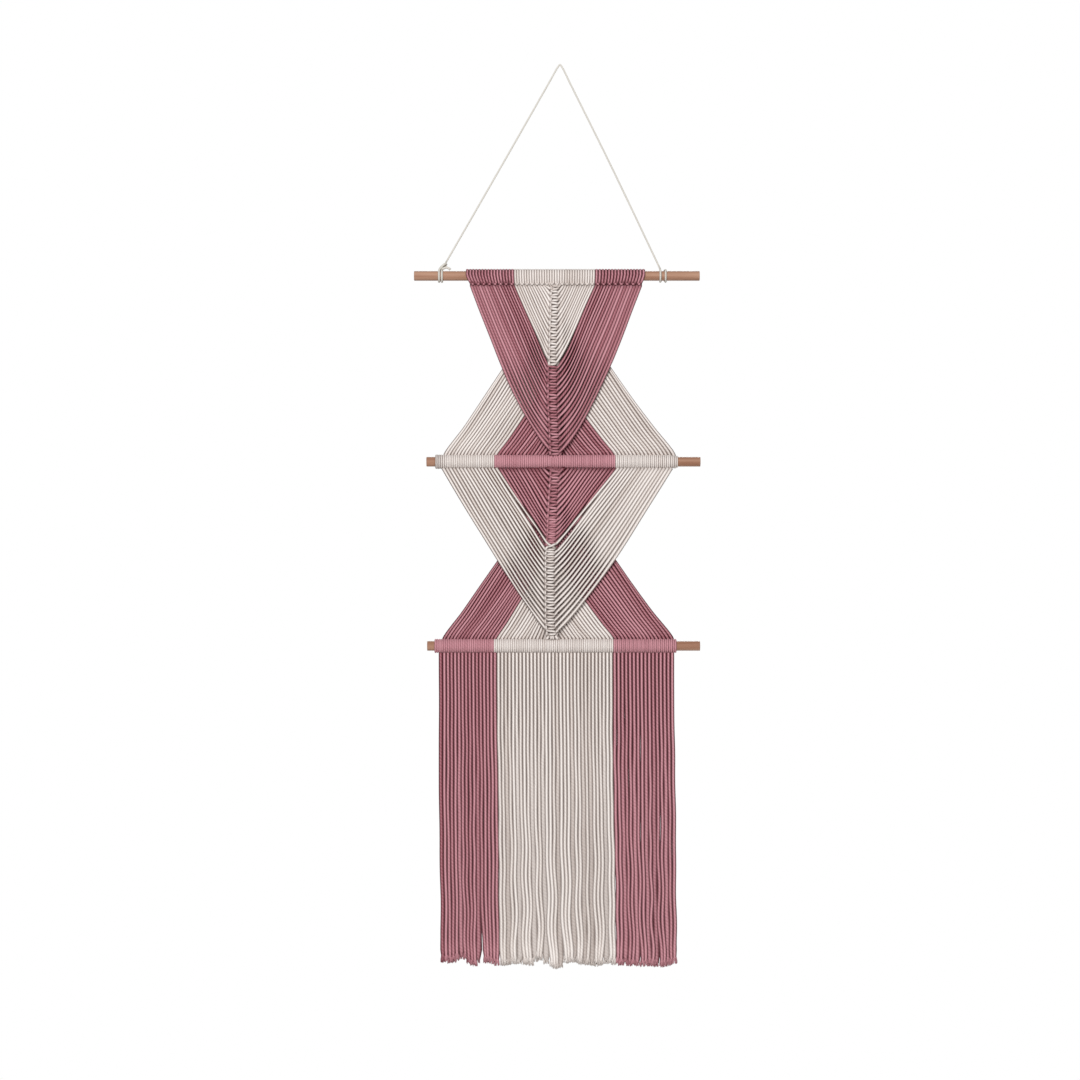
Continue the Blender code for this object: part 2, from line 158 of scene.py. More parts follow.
class Dyes(bpy.types.PropertyGroup):
    """Colours of the cotton and the wood."""

    rose: bpy.props.FloatVectorProperty(
        name="Dusty rose", description="Dye of the rose strands",
        default=linear("#D69CA5"), subtype="COLOR",
    )
    cream: bpy.props.FloatVectorProperty(
        name="Natural cream", description="Colour of the undyed strands",
        default=linear("#FAF2ED"), subtype="COLOR",
    )
    cord: bpy.props.FloatVectorProperty(
        name="Hanging cord", description="Colour of the hanging cord",
        default=linear("#E4E0D8"), subtype="COLOR",
    )
    wood: bpy.props.FloatVectorProperty(
        name="Wood", description="Colour of the light wood between its growth rings",
        default=linear("#B89078"), subtype="COLOR",
    )


# ---- materials ----

MATH, NOISE = "ShaderNodeMath", "ShaderNodeTexNoise"
TIMES, PLUS, TIMES_PLUS, COSINE, SINE, ABSOLUTE, GREATER = (
    {"operation": kind}
    for kind in ("MULTIPLY", "ADD", "MULTIPLY_ADD", "COSINE", "SINE", "ABSOLUTE", "MAXIMUM")
)


def set_sockets(tree, node, values=None, links=None):
    """Gives a node's sockets their values, or feeds them from a socket or a node's first one."""
    for socket, value in (values or {}).items():
        node.inputs[socket].default_value = value
    for socket, source in (links or {}).items():
        if isinstance(source, bpy.types.Node):
            source = source.outputs[0]
        tree.links.new(source, node.inputs[socket])


def add_node(tree, kind, settings=None, values=None, links=None):
    """A node with its settings, its sockets' values and what feeds them."""
    node = tree.nodes.new(kind)
    for name, value in (settings or {}).items():
        setattr(node, name, value)
    set_sockets(tree, node, values, links)
    return node


def new_material(name):
    """An empty material, its nodes and its shader."""
    made = bpy.data.materials.new(name)
    made.use_nodes = True
    return made, made.node_tree, made.node_tree.nodes["Principled BSDF"]


def set_ramp(ramp, *stops):
    """Gives a colour ramp's ends their places and colours."""
    for end, (place, colour) in zip(ramp.color_ramp.elements, stops):
        end.position = place
        end.color = (*colour, 1.0)


def cotton(name, colour, shade, hollow, turn):
    """Soft three-ply cotton string: dull, with a little bloom at grazing angles from loose fibres.

    shade is the darker end of its colour, for random fibres and the painted shade in the grooves
    between its plies; the next argument is the colour of the painted shade on its sides, where the
    strand lies against the next one. turn is the length, in millimetres, in which the plies go
    round once.
    """
    made, tree, shader = new_material(name)
    add = partial(add_node, tree)
    # The UVs hold millimetres along the strand and turns round it, so this angle follows one ply.
    strand = add("ShaderNodeUVMap", {"uv_map": "strand"})
    parts = add("ShaderNodeSeparateXYZ", links={"Vector": strand})
    along, round_it = parts.outputs["X"], parts.outputs["Y"]
    turns = add(MATH, TIMES_PLUS, {1: 1 / turn}, {0: along, 2: round_it})
    angle = add(MATH, TIMES, {1: 2 * pi}, {0: turns})
    across, upward = (add(MATH, wave, links={0: angle}) for wave in (COSINE, SINE))
    slow = add(MATH, TIMES, {1: 0.12}, {0: along})
    on_ply = add("ShaderNodeCombineXYZ", links={"X": across, "Y": upward, "Z": slow})
    noise = {"Scale": 5.0, "Detail": 3.0, "Roughness": 0.65}
    fibres = add(NOISE, values=noise, links={"Vector": on_ply})
    # Three plies: three rounded ridges in each turn, with painted shade in the grooves between
    # them.
    half = add(MATH, TIMES, {1: 1.5}, {0: angle})
    wave = add(MATH, SINE, links={0: half})
    ridges = add(MATH, ABSOLUTE, links={0: wave})
    tone, facing, much, shaded = (
        add("ShaderNodeAttribute", {"attribute_name": label}).outputs["Fac"]
        for label in ("tone", "facing", "hollow", "shade")
    )
    ridged = add(MATH, TIMES_PLUS, {1: 0.22}, {0: ridges, 2: tone})
    mixed = add(MATH, TIMES_PLUS, {1: 0.6}, {0: fibres, 2: ridged})
    ramp = add("ShaderNodeValToRGB", links={"Fac": mixed})
    set_ramp(ramp, (0.0, shade), (0.6, colour))
    # Painted shade: the sides, where a strand lies against its neighbours, and the shade marked
    # along its path both turn its colour towards the colour of the painted shade on its sides; the
    # darker of the two wins.
    sides = add(
        "ShaderNodeMapRange", {"interpolation_type": "SMOOTHSTEP"},
        {"From Min": 0.99, "From Max": 0.67}, {"Value": facing},
    )
    pressed = add(MATH, TIMES, links={0: sides, 1: much})
    darkest = add(MATH, GREATER, links={0: pressed, 1: shaded})
    # Sockets 6 and 7 take the two colours, and socket 2 gives their mix: the dye with the painted
    # shade.
    dye_with_shade = add(
        "ShaderNodeMix", {"data_type": "RGBA"}, {7: (*hollow, 1.0)}, {0: darkest, 6: ramp}
    ).outputs[2]
    height = add(MATH, TIMES_PLUS, {1: 0.35}, {0: fibres, 2: ridges})
    relief = {"Strength": 0.5, "Distance": 0.2 * MM}
    bump = add("ShaderNodeBump", values=relief, links={"Height": height})
    dull = {"Roughness": 0.92, "Specular IOR Level": 0.12}
    bloom = {"Sheen Weight": 0.05, "Sheen Roughness": 0.5}
    set_sockets(tree, shader, {**dull, **bloom}, {"Base Color": dye_with_shade, "Normal": bump})
    return made


def bare_wood(colour):
    """Birch or ramin rod, turned and left bare: fine grain along its length, almost no gloss."""
    made, tree, shader = new_material("bare_turned_wood")
    add = partial(add_node, tree)
    place = add("ShaderNodeTexCoord").outputs["Object"]
    # The grain runs along X: streaks 30 mm long and 0.6 mm apart, and growth rings 4 mm apart.
    streaks, rings = (
        add(
            NOISE, values={"Scale": 1.0, "Detail": detail, "Roughness": roughness},
            links={"Vector": add("ShaderNodeMapping", None, {"Scale": scale}, {"Vector": place})},
        )
        for scale, detail, roughness in (
            ((33.0, 1600.0, 1600.0), 4.0, 0.65), ((9.0, 260.0, 260.0), 2.0, 0.5),
        )
    )
    mixed = add(MATH, TIMES_PLUS, {1: 0.6}, {0: streaks, 2: rings})
    tone = add("ShaderNodeAttribute", {"attribute_name": "tone"}).outputs["Fac"]
    toned = add(MATH, PLUS, links={0: mixed, 1: tone})
    ramp = add("ShaderNodeValToRGB", links={"Fac": toned})
    dark = [c * share for c, share in zip(colour, (0.6, 0.45, 0.38))]
    set_ramp(ramp, (0.45, dark), (1.05, colour))
    relief = {"Strength": 0.3, "Distance": 0.1 * MM}
    bump = add("ShaderNodeBump", values=relief, links={"Height": streaks})
    bare = {"Roughness": 0.6, "Specular IOR Level": 0.35}
    set_sockets(tree, shader, bare, {"Base Color": ramp, "Normal": bump})
    return made


def finish_named(name):
    """One of the four finishes, made when it is first asked for."""
    if name in bpy.data.materials:
        return bpy.data.materials[name]
    dyes = bpy.context.scene.macrame_dyes
    turn = bpy.context.scene.macrame_sizes.twist / MM
    # Each cotton has its dye, then the darker colour of its fibres and the painted shade between
    # its plies, then the colour of the painted shade on its sides.
    if name == "dyed_cotton_rose":
        return cotton(name, tuple(dyes.rose), linear("#985962"), linear("#4A0F1A"), turn)
    if name == "undyed_cotton_cream":
        return cotton(name, tuple(dyes.cream), linear("#D6C9C1"), linear("#543A2E"), turn)
    if name == "cotton_hanging_cord":
        return cotton(name, tuple(dyes.cord), linear("#B4ACA0"), linear("#8C857B"), turn * 0.55)
    return bare_wood(tuple(dyes.wood))


COTTON = {"rose": "dyed_cotton_rose", "cream": "undyed_cotton_cream"}


# ---- laying cord ----


class Lay(NamedTuple):
    """One length of cord. It has one width and one depth of painted shade on its sides, or one for
    each point of its route.
    """

    points: list
    widths: float
    tone: float = 0.0  # lightens or darkens it
    hollow: float = 0.0  # how dark the painted shade on its sides is, where it lies against its neighbours
    coiled: bool = False  # only what faces along X is a side, and not all but front and back
    squeeze: tuple = (1, 1, 1)  # scales its cross-section along X, Y and Z
    corners: int = 8
    shade: object = None  # says how dark its front is at points of its path, behind other cords


FINE, COARSE, BEND = 0.7, 6.0, 0.17  # shortest and longest step in millimetres, and turn in radians


def unit(rows):
    """Each row's direction."""
    return rows / np.linalg.norm(rows, axis=1, keepdims=True)


def cells(grid):
    """The four corners of each cell of a grid, in order round it."""
    return np.stack([grid[:-1, :-1], grid[:-1, 1:], grid[1:, 1:], grid[1:, :-1]], axis=2)


def travel(points):
    """How far along its route each point is."""
    steps = np.linalg.norm(np.diff(points, axis=0), axis=1)
    return np.concatenate([[0.0], np.cumsum(steps)])


def smooth(points):
    """A Catmull-Rom curve, finer where it bends, and the length to each of its points."""
    points = np.asarray(points, float)
    ends = np.vstack([2 * points[0] - points[1], points, 2 * points[-1] - points[-2]])
    before, start, end, after = ends[:-3], ends[1:-2], ends[2:-1], ends[3:]
    gaps = np.maximum(np.linalg.norm(np.diff(ends, axis=0), axis=1), 1e-6) ** 0.5
    first, second, third = gaps[:-2, None], gaps[1:-1, None], gaps[2:, None]
    leave = second * ((start - before) / first - (end - before) / (first + second)) + (end - start)
    arrive = second * ((after - end) / third - (after - start) / (second + third)) + (end - start)
    t = np.linspace(0, 1, 25)[:-1][None, :, None]
    start, end, leave, arrive = (a[:, None, :] for a in (start, end, leave, arrive))
    curve = (
        (2 * t**3 - 3 * t**2 + 1) * start + (t**3 - 2 * t**2 + t) * leave
        + (3 * t**2 - 2 * t**3) * end + (t**3 - t**2) * arrive
    )
    dense = np.vstack([curve.reshape(-1, 3), points[-1]])
    travelled = travel(dense)
    count = max(int(round(travelled[-1] / FINE)), 3)
    goals = np.linspace(0, travelled[-1], count + 1)
    path = np.column_stack([np.interp(goals, travelled, dense[:, i]) for i in range(3)])
    steps = unit(np.diff(path, axis=0))
    turned = np.arccos(np.clip((steps[1:] * steps[:-1]).sum(1), -1, 1))
    due = np.concatenate([[0.0], np.cumsum(np.maximum(turned / BEND, FINE / COARSE))])
    kept = np.concatenate([[0], 1 + np.flatnonzero(np.diff(np.floor(due))), [count]])
    return path[kept], goals[kept]


def frames(path):
    """Directions across a path that turn with it and never spin."""
    tangents = unit(np.gradient(path, axis=0))
    side = np.cross(tangents[0], (0.0, 1.0, 0.1))
    side /= np.linalg.norm(side)
    sides = [side]
    for i in range(len(path) - 1):
        step = path[i + 1] - path[i]
        size = step @ step
        side = side - (2 / size) * (step @ side) * step
        tangent = tangents[i] - (2 / size) * (step @ tangents[i]) * step
        turn = tangents[i + 1] - tangent
        size = turn @ turn
        if size > 1e-12:
            side = side - (2 / size) * (turn @ side) * turn
        sides.append(side)
    sides = np.array(sides)
    sides = unit(sides - (sides * tangents).sum(1, keepdims=True) * tangents)
    return sides, np.cross(tangents, sides)


def lay_cords(name, lays, material):
    """One mesh of many lengths of cord, each closed at both ends.

    Its UVs hold millimetres along each length and turns round it, for the material's plies.
    """
    points, quads, caps, uvs = [], [], [], []
    marks = {"tone": [], "facing": [], "hollow": [], "shade": []}
    base = 0
    for number, lay in enumerate(lays):
        given = np.asarray(lay.points, float)
        path, travelled = smooth(given)
        sides, others = frames(path)
        corners, count = lay.corners, len(path)
        angles = (2 * pi * np.arange(corners) / corners)[None, :, None]
        places = travel(given)
        places, along = places / places[-1], travelled / travelled[-1]
        widths, hollow = (
            np.interp(along, places, np.broadcast_to(values, len(given)))
            for values in (lay.widths, lay.hollow)
        )
        outward = np.cos(angles) * sides[:, None, :] + np.sin(angles) * others[:, None, :]
        offset = outward * (widths / 2)[:, None, None] * np.asarray(lay.squeeze, float)
        points.append((path[:, None, :] + offset).reshape(-1, 3))
        round_it = np.arange(corners + 1)
        index = base + corners * np.arange(count)[:, None] + round_it % corners
        quads.append(cells(index).reshape(-1, 4))
        caps += [index[0, -2::-1].tolist(), index[-1, :-1].tolist()]
        # Every length starts its plies somewhere else.
        u, v = travelled[:, None] + 3.7 * number, round_it / corners
        uvs.append(cells(np.stack(np.broadcast_arrays(u, v), axis=-1)).reshape(-1, 2))
        # facing is low on a cord's sides, where the material paints shade, and high elsewhere.
        along_x, along_y = np.abs(outward[..., 0]), np.abs(outward[..., 1])
        facing = np.sqrt(np.maximum(1 - along_x**2, 0)) if lay.coiled else along_y
        # Its front takes all of the shade, its sides some and its back none.
        dark = lay.shade(path) if lay.shade else np.zeros(count)
        shade = dark[:, None] * np.clip(0.6 - 1.6 * outward[..., 1], 0, 1)
        tone, hollow = np.full(count * corners, lay.tone), np.repeat(hollow, corners)
        for label, values in zip(marks, (tone, facing, hollow, shade)):
            marks[label].append(values.ravel())
        base += count * corners
    mesh = bpy.data.meshes.new(name)
    mesh.from_pydata((np.vstack(points) * MM).tolist(), [], np.vstack(quads).tolist() + caps)
    on_caps = np.zeros(2 * sum(len(cap) for cap in caps))
    layer = mesh.uv_layers.new(name="strand")
    layer.data.foreach_set("uv", np.concatenate([np.vstack(uvs).ravel(), on_caps]))
    for label, values in marks.items():
        layer = mesh.attributes.new(label, "FLOAT", "POINT")
        layer.data.foreach_set("value", np.concatenate(values))
    mesh.polygons.foreach_set("use_smooth", np.ones(len(mesh.polygons), bool))
    mesh.materials.append(material)
    made = bpy.data.objects.new(name, mesh)
    bpy.context.scene.collection.objects.link(made)
    return made


def ring(around, degrees, across):
    """A point on a turn round the top dowel, in degrees from its front."""
    turn = radians(degrees)
    return (across, -around * cos(turn), TOP + around * sin(turn))


def settle(piece, slot, *nodes):
    """Puts a piece on the body, in place of its solids."""
    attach(piece, "root")
    if nodes:
        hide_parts(*nodes)


def lay_cotton(name, lays, colour, *nodes):
    """Lays a piece of cotton strands of one colour."""
    piece = lay_cords(name, lays, finish_named(COTTON[colour]))
    settle(piece, f"{colour}_cotton", *nodes)


# ---- the strands' routes ----


def spine_across(height):
    """Where the middle of the spine lies at a height."""
    return np.interp(-height, -SPINE_LINE[:, 0], SPINE_LINE[:, 1])


def colour_of(panel, pair):
    """Colour of a pair of strands above the spine, numbered outwards from 1."""
    return panel.inner if pair <= PAIRS_A_COLOUR else panel.outer


def across_band(edges, side, number):
    """Where a strand lies, numbered outwards from 1, in bands with these edges, left to right."""
    band, place = divmod(number - 1, PAIRS_A_COLOUR)
    low, high = edges[SPINE_EDGE + side * band], edges[SPINE_EDGE + side * (band + 1)]
    share = (place + 0.5) / PAIRS_A_COLOUR
    return low + (high - low) * share


def knot_top(panel, knot):
    """Height of the top of a knot. Those of the inner colour come first."""
    return np.interp(knot, *panel.knots)


# A square knot in millimetres: across, down and forward of the middle of its top. The strand from
# the left makes both bars in front, and the strand from the right goes behind twice and stands up
# at the left as the knot's upright loop.
KNOT_HEIGHT = 6.0
LEFT_IN_KNOT = (
    (-6.6, -1.6, 0.5), (-4.6, 0.5, 0.9), (-2.6, 1.2, 2.0), (0.3, 1.45, 2.4), (2.9, 1.8, 1.7),
    (4.0, 3.0, 0.2), (2.9, 4.2, 1.7), (0.3, 4.55, 2.4), (-2.6, 4.8, 2.0), (-4.2, 5.4, 0.0),
    (-3.0, 6.6, -1.2),
)
RIGHT_IN_KNOT = (
    (7.0, -0.7, 1.2), (5.4, 1.0, 1.8), (3.9, 2.4, 1.2), (2.4, 3.2, -0.7), (0.8, 3.5, -1.7),
    (-2.0, 3.0, -1.9), (-4.7, 2.0, -0.4), (-5.5, 2.2, 1.4), (-5.7, 3.6, 2.1), (-5.4, 5.0, 1.4),
    (-3.6, 5.6, -1.2), (0.8, 6.0, -1.8), (2.2, 6.9, -1.2),
)

# The first knot of the lower panel's outer colour crosses in front of the last inner knot.
LEFT_CROSSING = ((-4.6, -3.4, 2.2), (-1.8, -1.0, 3.2), (1.0, 0.6, 2.9), *LEFT_IN_KNOT[4:])
RIGHT_CROSSING = (
    (5.0, -3.2, 2.4), (2.0, -1.2, 4.2), (-1.2, 0.4, 3.6), (-3.8, 1.4, 2.4), *RIGHT_IN_KNOT[8:]
)


def in_knot(panel, knot, side):
    """The route of one strand through its knot."""
    pattern = LEFT_IN_KNOT if side < 0 else RIGHT_IN_KNOT
    if panel is LOWER and knot == INNER_KNOTS + 1:
        pattern = LEFT_CROSSING if side < 0 else RIGHT_CROSSING
    top, below = knot_top(panel, knot), knot_top(panel, knot + 1)
    wide = panel.widths[knot > INNER_KNOTS]
    points = []
    for across, down, forward in pattern:
        height = top + (below - top) * down / KNOT_HEIGHT
        points.append((spine_across(height) + across * wide, SPINE_DEPTH - forward, height))
    return points


def bow(start, end):
    """Points of a strand in the fan, which sags a little between its ends."""
    (x0, y0, z0), (x1, y1, z1) = start, end
    first, last = 0.93, 1.08  # slopes at its ends, as shares of the straight line's
    shares = np.linspace(0, 1, 7)[1:-1]
    across = (
        (shares**3 - 2 * shares**2 + shares) * first + (3 * shares**2 - 2 * shares**3)
        + (shares**3 - shares**2) * last
    )
    return [
        (x0 + (x1 - x0) * a, y0 + (y1 - y0) * s, z0 + (z1 - z0) * s) for a, s in zip(across, shares)
    ]


def hang(start, end, lead, reach):
    """Points of a slack strand that hangs straight from its start and turns in towards its end.

    lead is how far its straight part is carried outwards, and reach is the height of its turn.
    """
    (x0, y0, z0), (x1, y1, z1) = start, end
    drop, across = z0 - z1, x0 - x1
    sign = 1 if across > 0 else -1
    slope = (abs(across) - lead * (1 - exp(-drop / reach))) / drop
    points = []
    for share in (0.85, 0.7, 0.55, 0.42, 0.3, 0.2, 0.12, 0.05):
        up = share * drop
        x = x1 + sign * (slope * up + lead * (1 - exp(-up / reach)))
        points.append((x, y1 + (y0 - y1) * share, z1 + up))
    return points


def hang_of(panel, pair, side):
    """How far a front strand is carried outwards, and over what height it turns in, in millimetres.

    The strand on the right crosses over the knot's turn, so it comes in flatter than the left one.
    """
    out = max(0.0, (pair - PAIRS_A_COLOUR) / PAIRS_A_COLOUR)
    near = min(pair, PAIRS_A_COLOUR) / PAIRS_A_COLOUR
    if panel is UPPER:
        if side < 0:
            return 0.6 * near + 18.0 * out**2.5, 9.0 + 29.0 * out**2.5
        return 1.8 * near + 2.0 * min(1, 6 * out) + 14.0 * out**2, 9.0 + 26.0 * out**3
    if side < 0:
        return 0.4 * near + 9.0 * out**2, 6.0 + 44.0 * out**2
    return 1.2 * near + 14.0 * out**2, 5.0 + 35.0 * out**2


def front_start(panel, pair, side):
    """Where a strand starts in front, just below the knots on the dowel."""
    x = across_band(panel.starts, side, pair)
    if panel is UPPER:
        return (x, -4.9, TOP - 10.5)
    return (x, -2.6, MIDDLE - 6.6)


def leaving(panel, pair):
    """Height at which a strand leaves the spine: a knot below its own, but the last few sooner."""
    held = max(pair - FILLER_PAIRS, 0) + min(max((26 - pair) / 2, 0.0), 1.0)
    whole = int(held)
    upper, lower = knot_top(panel, whole + 1), knot_top(panel, whole + 2)
    return upper + (lower - upper) * (held - whole)


def strand_route(panel, pair, side):
    """A strand's stretches through a panel: in front, through its knot, and in the fan behind."""
    knot = pair - FILLER_PAIRS
    front, knotted = [front_start(panel, pair, side)], []
    if knot >= 1:
        knotted = in_knot(panel, knot, side)
        front += hang(front[0], knotted[0], *hang_of(panel, pair, side))
    if panel is LOWER and pair == PAIRS_A_COLOUR:
        # The last inner strand slips outside the first outer one.
        start, drop = front[0][2], front[0][2] - front[-1][2]
        for i, (x, y, z) in enumerate(front):
            out = sin(pi * min(max(((start - z) / drop - 0.5) / 0.5, 0), 1)) ** 2
            front[i] = (x + side * 3.4 * out, y + 2.0 * out, z)
    leave = leaving(panel, pair)
    last = (knotted or front)[-1][2]
    if leave < last - 2.5:
        height = max(leave + 1.0, last - 4.0)
        knotted.append((spine_across(height) + side, SPINE_DEPTH + 0.9, height))
    arrive_x = across_band(panel.arrivals, side, PAIRS + 1 - pair)
    arrive = (arrive_x, 4.4, panel.row + 7.4)
    fan = []
    if leave - arrive[2] > 4.0:
        out = (spine_across(leave) + side * 2.6, SPINE_DEPTH + 3.4, leave - 1.2)
        fan = [out, *bow(out, arrive)]
    fan += [arrive, (arrive_x + side * 0.4, 7.6, panel.row + 2.5)]
    return front, knotted, fan


def spacing(points, neighbours):
    """How far each point is, seen from the front, from its neighbouring strands, on average."""
    flat = np.array(points)[:, None, ::2]
    found = []
    for line in neighbours:
        line = np.array(line)[:, ::2]
        start, step = line[:-1], np.diff(line, axis=0)
        share = np.clip(((flat - start) * step).sum(2) / (step**2).sum(1), 0, 1)
        found.append(np.linalg.norm(flat - start - share[..., None] * step, axis=2).min(1))
    return np.mean(found, axis=0)


FRONT_OVERLAP, FAN_OVERLAP = 1.18, 1.26  # greatest widths of strands as shares of their spacing
SLACK_PAIRS = 8  # the innermost, which hang with more room than the rest
SLACK_LOWER = (9, 10, 17, 18)  # more of them in the lower panel
FALLING = range(17, 29)  # pairs of the upper panel, where each fourth strand falls behind


def room(panel, pair, points, edge):
    """Widths of strands in front, as shares of their spacing.

    They overlap outside the fan behind, whose outermost strand is the edge, and open up over it.
    """
    points, edge = np.array(points), np.array(edge)
    reach = np.interp(-points[:, 2], -edge[:, 2], edge[:, 0], left=edge[0, 0])
    side = np.sign(edge[-1, 0] - edge[0, 0])
    share = np.clip(((reach - points[:, 0]) * side - 3.0) / 20.0, 0, 1)
    least = (0.93, 0.78) if panel is UPPER else (0.82, 0.76 if side < 0 else 0.68)
    opened = (FRONT_OVERLAP - least[pair > PAIRS_A_COLOUR]) * share**2 * (3 - 2 * share)
    return FRONT_OVERLAP - opened


def core(panel, colour):
    """The fillers inside the knots of one colour, which spread out below the last one."""
    inner, change = colour == panel.inner, INNER_KNOTS + 2
    first, last = (1, change) if inner else (change, PAIRS - FILLER_PAIRS + 1)
    lays = []
    for beside, depth, width in (
        (-4.8, 1.4, 3.6), (-1.1, 0.2, 2.8), (1.1, 0.2, 2.8), (4.9, 1.4, 3.6),
    ):
        heights = knot_top(panel, np.arange(first, last, 0.5))
        route = [(spine_across(z) + beside, SPINE_DEPTH + depth, z - 0.6) for z in heights]
        end = route[-1][2]
        x, y, z = route[0 if inner else -1]
        if inner:
            route.insert(0, (x, y + 0.5, z + 3.5))
        else:
            route += [
                (x - 0.2 * beside, y - 0.6, z - 3.0), (x + 0.1 * beside, y - 0.8, z - 5.5),
                (x + 0.4 * beside, 0.0, z - 7.5), (x + 0.7 * beside, 5.0, z - 9.5),
            ]
        # Inside the knots the fillers get painted shade, and below the last knot none.
        lays.append(Lay(
            route, width, hollow=0.5, shade=lambda path, end=end: 0.7 * (path[:, 2] > end + 0.5),
        ))
    if panel is LOWER and inner:
        # Where the first knots draw the strands in, the fillers' loose turns beside them are
        # painted dark as the shade there.
        turns = ((-422.0, 9.5), (-428.0, 8.8), (-434.0, 7.8), (-441.0, 6.4), (-448.0, 5.0))
        for side in (-1, 1):
            route = [(spine_across(z) + side * out, SPINE_DEPTH + 3.6, z) for z, out in turns]
            lays.append(Lay(route, 5.2, shade=lambda path: np.full(len(path), 0.8)))
    return lays


def shade_backing(panel, side):
    """The last inner strand's slack turn behind, painted dark as the shade where the colours
    change.
    """
    last = PAIRS_A_COLOUR
    start, end = front_start(panel, last, side), in_knot(panel, last - FILLER_PAIRS, side)[0]
    line = hang(start, end, *hang_of(panel, last, side))[:-2]
    return Lay(
        [(x + side * 0.8, y + 3.4, z) for x, y, z in line], (3.0, 5.5, 7.0, 7.0, 6.0, 3.5),
        tone=-0.3, shade=lambda path: np.full(len(path), 0.75),
    )


def shading(panel, colour, side, edge):
    """Painted shade: how dark strands are behind those in front, out to the edge, and just below
    their row.
    """
    most_behind = 0.85 if panel is UPPER else 0.5 if side < 0 else 0.25
    most_below = 0.3 if colour == "cream" else 0.35 if panel is UPPER else 0.85

    def shade(path):
        across, depth, height = path.T
        cover = side * (np.interp(-height, -edge[:, 2], edge[:, 0]) - across)
        behind = np.clip((depth - SPINE_DEPTH - 1.5) / 2, 0, 1) * np.clip(cover / 3.0, 0, 1)
        behind *= np.clip((height - edge[-1, 2]) / 3.0, 0, 1)
        below = most_below * np.exp((height - edge[0, 2]) / 3.0) * (depth < 0)
        return np.maximum(most_behind * behind, np.minimum(below, most_below))

    return shade


def side_shade_in_front(panel, pair, side):
    """How dark the painted shade on a front strand's sides is. The outermost strands press into one
    smooth sheet.
    """
    pressed = float(np.clip((pair - 20) / 6, 0, 1))
    if panel is UPPER:
        return 0.65 if pair <= PAIRS_A_COLOUR else 1.0 - 0.4 * pressed
    return (1.0 if pair <= PAIRS_A_COLOUR else 0.95 if side < 0 else 0.75) - 0.2 * pressed


def panel_lays(panel, colour, sizes, chance):
    """The strands of one colour of a panel, as wide as they need to be to lie side by side."""
    lays = core(panel, colour)
    for side in (-1, 1):
        routes = {pair: strand_route(panel, pair, side) for pair in range(1, PAIRS + 1)}
        shade = shading(panel, colour, side, np.array(routes[PAIRS][0]))
        if panel is LOWER and colour == panel.inner:
            lays.append(shade_backing(panel, side))

        for pair, (front, knotted, fan) in routes.items():
            if colour_of(panel, pair) != colour:
                continue
            beside = [routes[near] for near in (pair - 1, pair + 1) if near in routes]
            depth, shift = chance.uniform(-0.6, 0.6), chance.uniform(-0.06, 0.06)
            tone = chance.uniform(-0.2, 0.2)
            # Each fourth of these strands falls behind, darkened in tone as painted shade.
            if panel is UPPER and pair in FALLING and (pair + side) % 4 == 0:
                depth, tone = 0.5, -0.25
            phase = 0.4 * pair + chance.uniform(-0.15, 0.15)
            points, widths, side_shades = [], [], []
            least, most = (3.0 if pair <= SLACK_PAIRS else 2.3), None
            if 2 < pair <= SLACK_PAIRS or panel is LOWER and pair in SLACK_LOWER:
                most = 4.6
            for which, line, slack in ((0, front, sizes.front / MM), (2, fan, sizes.fan / MM)):
                near = [other[which] for other in beside if len(other[which]) > 1]
                gaps = spacing(line, near) if near else np.full(len(line), slack)
                gaps = gaps * (FAN_OVERLAP if which else room(panel, pair, line, routes[1][2]))
                gaps = np.clip(gaps, least, most or slack).tolist()
                moved = []
                for i, (x, y, z) in enumerate(line):
                    much = min(i, len(line) - 1 - i, 2) / 2 if len(line) > 4 else 0
                    sway = shift + 0.36 * sin(z / 17 + side * phase)
                    moved.append((x + sway * much, y + depth * much, z))
                # Painted shade on the strands' sides: in the fan, in front and in the knots.
                hollow = 1.0 if colour == "rose" else 0.75
                if which == 0:
                    hollow = side_shade_in_front(panel, pair, side)
                    for point in knotted:
                        moved.append(tuple(c + chance.uniform(-0.18, 0.18) for c in point))
                    gaps += [sizes.knotted / MM] * len(knotted)
                points += moved
                widths += gaps
                side_shades += [hollow] * len(line)
                side_shades += [0.45 if pair <= PAIRS_A_COLOUR else 0.6] * (len(gaps) - len(line))
            lays.append(Lay(points, widths, tone=tone, hollow=side_shades, shade=shade))
    return lays


# ---- operators ----


